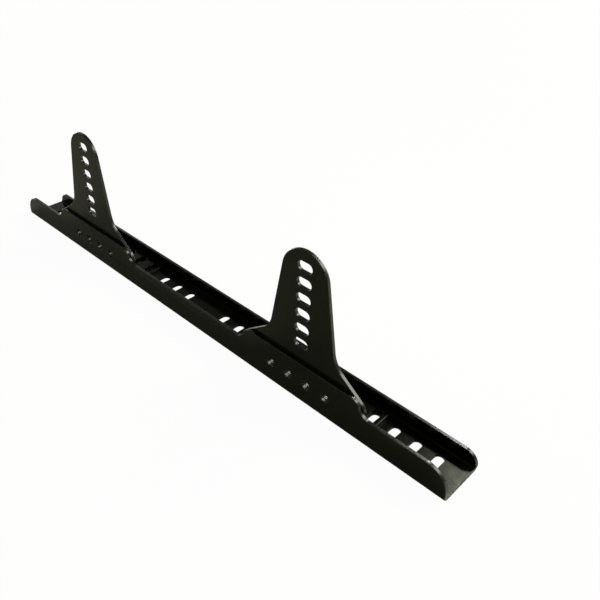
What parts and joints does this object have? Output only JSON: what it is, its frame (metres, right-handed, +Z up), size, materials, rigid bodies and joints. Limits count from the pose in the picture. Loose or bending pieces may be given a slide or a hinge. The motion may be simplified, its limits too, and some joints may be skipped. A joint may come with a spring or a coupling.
{
  "type": "seat side mount",
  "caption": "Side mount for a car seat: a slotted channel rail with two tabs on its high flange, and tapered L-shaped brackets standing in it with columns of slots for side bolts.",
  "frame": {"origin": "middle of the rail's underside, at the middle of its length and width", "axes": "+X along the rail to its front end, +Y across it to the low flange and the seat, +Z up"},
  "size_m": [0.58, 0.045, 0.144],
  "materials": {
    "rail_steel": "satin black powder coat on folded steel sheet",
    "bracket_steel": "satin black powder coat on folded steel sheet"
  },
  "bodies": {
    "root": {"channel_rail": "rail_steel", "rear_upright_bracket": "bracket_steel", "front_upright_bracket": "bracket_steel"}
  },
  "joints": []
}
